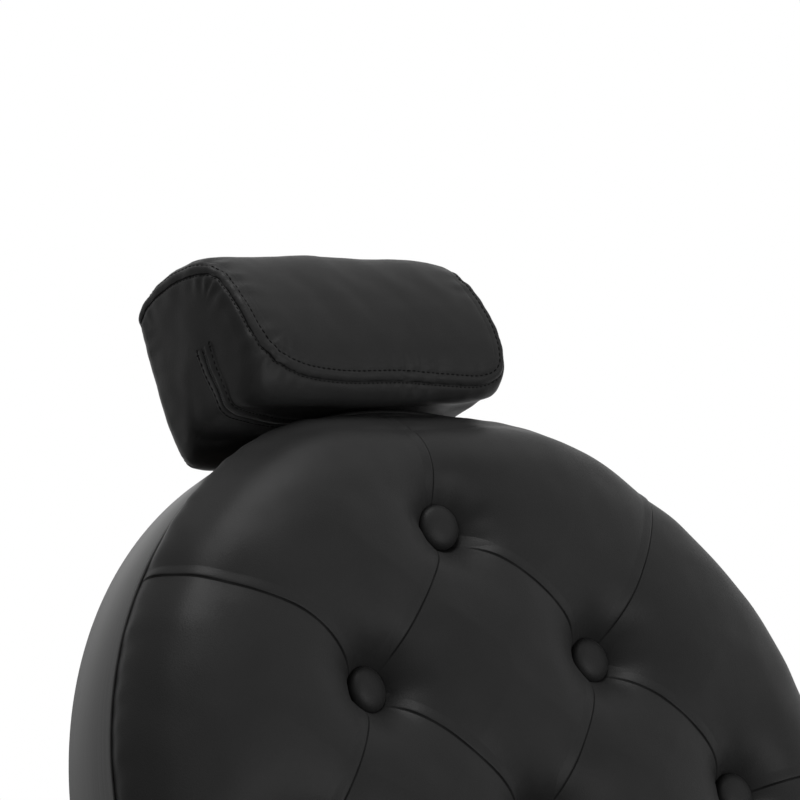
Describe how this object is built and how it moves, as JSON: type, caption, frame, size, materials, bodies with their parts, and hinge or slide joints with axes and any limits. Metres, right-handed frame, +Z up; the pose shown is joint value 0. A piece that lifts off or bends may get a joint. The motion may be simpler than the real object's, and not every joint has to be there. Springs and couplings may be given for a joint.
{
  "type": "barber chair",
  "caption": "Reclining barber chair with a round diamond-tufted back in a brushed rim, sliding headrest, linked legrest, hydraulic pump and disc base.",
  "frame": {"origin": "on the floor under the pump, in the middle of the base disc's underside", "axes": "+Z up along the pump, the sitter faces -Y, +X is the sitter's left"},
  "size_m": [0.66, 1.1959, 1.1039],
  "materials": {
    "black_leatherette": "coated fabric with a fine leather grain, over foam",
    "brushed_rim": "brushed along its length, dark grey",
    "chrome": "polished",
    "black_steel": "satin black paint",
    "cast_aluminium": "satin casting",
    "rubber": "matt",
    "plywood": "bare",
    "bronze": "turned",
    "black_plastic": "fine grain"
  },
  "bodies": {
    "base": {"base_disc": "black_steel", "base_cover": "chrome", "base_edge_strip": "rubber", "pump_housing": "black_steel", "guide_bush": "bronze", "pedal_pin": "chrome"},
    "pedal": {"pedal_lever": "chrome", "pedal_pad": "rubber"},
    "plunger": {"pump_plunger": "chrome"},
    "lift": {"ram": "chrome", "thrust_washer": "bronze"},
    "seat": {"swivel_hub": "black_steel", "seat_bracket": "black_steel", "seat_pan": "plywood", "seat_band": "brushed_rim", "seat_cushion": "black_leatherette", "side_plate_left": "brushed_rim", "side_plate_right": "brushed_rim", "arm_pad_left": "black_leatherette", "arm_pad_right": "black_leatherette", "pivot_bush_left": "bronze", "pivot_bush_right": "bronze", "gas_cylinder": "black_steel"},
    "back": {"back_shaft": "chrome", "pivot_cap_left": "chrome", "pivot_cap_right": "chrome", "back_strap_left": "black_steel", "back_strap_right": "black_steel", "recline_crank": "black_steel", "back_board": "plywood", "back_band": "brushed_rim", "back_cushion": "black_leatherette", "back_button_1": "black_leatherette", "back_button_2": "black_leatherette", "back_button_3": "black_leatherette", "back_button_4": "black_leatherette", "back_button_5": "black_leatherette", "back_button_6": "black_leatherette", "back_button_7": "black_leatherette", "back_button_8": "black_leatherette", "back_button_9": "black_leatherette", "rear_panel": "black_leatherette", "headrest_guide": "cast_aluminium"},
    "knob": {"clamp_knob": "black_plastic"},
    "headrest_post": {"headrest_bar": "chrome"},
    "headrest": {"headrest_plate": "black_steel", "tilt_pin": "chrome", "headrest_pad": "black_leatherette"},
    "gas_piston": {"gas_rod": "chrome"},
    "link": {"legrest_link": "black_steel"},
    "legrest": {"legrest_shaft": "chrome", "legrest_crank": "black_steel", "legrest_arm_left": "brushed_rim", "legrest_arm_right": "brushed_rim", "calf_pad": "black_leatherette"},
    "foot": {"footplate": "cast_aluminium"},
    "hand_lever": {"recline_lever": "chrome", "lever_grip": "black_plastic"}
  },
  "joints": [
    {"name": "pump_lift", "type": "slide", "parent": "base", "child": "lift", "axis": [0, 0, 1], "range_m": [0, 0.16]},
    {"name": "swivel", "type": "hinge", "parent": "lift", "child": "seat", "pos_m": [0, 0, 0.35], "axis": [0, 0, 1], "continuous": true},
    {"name": "recline", "type": "hinge", "parent": "seat", "child": "back", "pos_m": [0, 0.275, 0.4595], "axis": [-1, 0, 0], "range_deg": [-8, 44]},
    {"name": "legrest_swing", "type": "hinge", "parent": "seat", "child": "legrest", "pos_m": [0, -0.27, 0.384], "axis": [-1, 0, 0], "range_deg": [-8, 44]},
    {"name": "link_pivot", "type": "hinge", "parent": "back", "child": "link", "pos_m": [0.1013, 0.275, 0.3595], "axis": [-1, 0, 0], "range_deg": [-44, 8]},
    {"name": "gas_stroke", "type": "slide", "parent": "seat", "child": "gas_piston", "axis": [0, 0.9994, 0.0339], "range_m": [-0.066, 0.013]},
    {"name": "headrest_height", "type": "slide", "parent": "back", "child": "headrest_post", "axis": [0, 0.4384, 0.8988], "range_m": [0, 0.1]},
    {"name": "headrest_tilt", "type": "hinge", "parent": "headrest_post", "child": "headrest", "pos_m": [0, 0.62238, 0.97099], "axis": [-1, 0, 0], "range_deg": [0, 30]},
    {"name": "clamp_turn", "type": "hinge", "parent": "back", "child": "knob", "pos_m": [0, 0.55917, 0.80488], "axis": [0, 0.8988, -0.4384], "range_deg": [-180, 180]},
    {"name": "footplate_fold", "type": "hinge", "parent": "legrest", "child": "foot", "pos_m": [0, -0.37565, 0.15742], "axis": [-1, 0, 0], "range_deg": [0, 70]},
    {"name": "recline_release", "type": "hinge", "parent": "seat", "child": "hand_lever", "pos_m": [-0.274, 0.06, 0.4098], "axis": [-1, 0, 0], "range_deg": [0, 22], "stiffness_Nm_per_rad": 3, "springref_deg": -14.32},
    {"name": "pump_pedal", "type": "hinge", "parent": "base", "child": "pedal", "pos_m": [0.072, 0, 0.118], "axis": [0, 1, 0], "range_deg": [-4, 12], "stiffness_Nm_per_rad": 60, "springref_deg": -1.15},
    {"name": "plunger_stroke", "type": "slide", "parent": "base", "child": "plunger", "axis": [0, 0, -1], "range_m": [-0.0035, 0.009]}
  ],
  "couplings": [
    {"joint": "legrest_swing", "follows": "recline", "ratio": 1},
    {"joint": "link_pivot", "follows": "recline", "ratio": -1},
    {"joint": "gas_stroke", "follows": "recline", "m_per_rad": -0.0825},
    {"joint": "plunger_stroke", "follows": "pump_pedal", "m_per_rad": 0.04}
  ]
}
